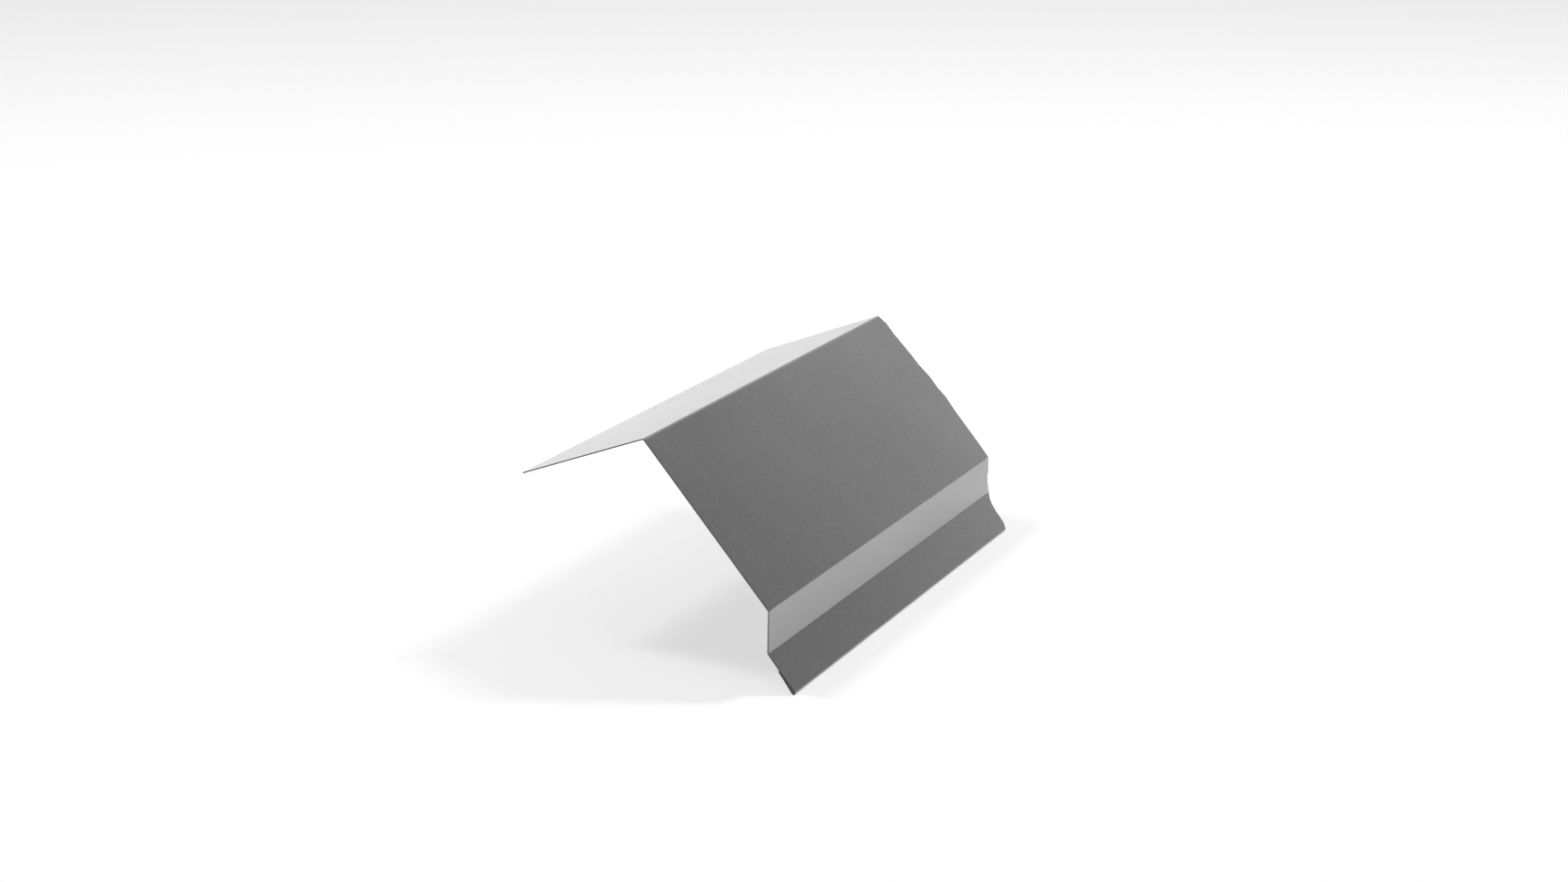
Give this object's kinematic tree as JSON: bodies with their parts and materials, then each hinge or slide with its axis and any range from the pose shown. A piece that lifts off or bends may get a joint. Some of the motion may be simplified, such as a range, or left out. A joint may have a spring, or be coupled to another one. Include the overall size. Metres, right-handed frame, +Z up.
{
  "type": "eave trim",
  "caption": "Folded coated-steel eave trim with a sloping roof flange, a deep face, a short step and a hemmed drip lip, its far end cut by hand.",
  "frame": {"origin": "middle of the roof flange's underside, where the trim is nailed to the roof deck", "axes": "+X along the trim, from the square factory end to the hand-cut end; +Z up, with the trim at the slope the picture shows: the roof flange falls 22.7 degrees towards +Y and the face looks towards -Y and up; the hem's fold is the lowest line"},
  "size_m": [0.252, 0.155, 0.1148],
  "materials": {
    "coated_steel": "satin charcoal grey baked coat on steel sheet, a paler backer coat behind, bare steel at the cut edges"
  },
  "bodies": {
    "root": {"eave_trim": "coated_steel"}
  },
  "joints": []
}
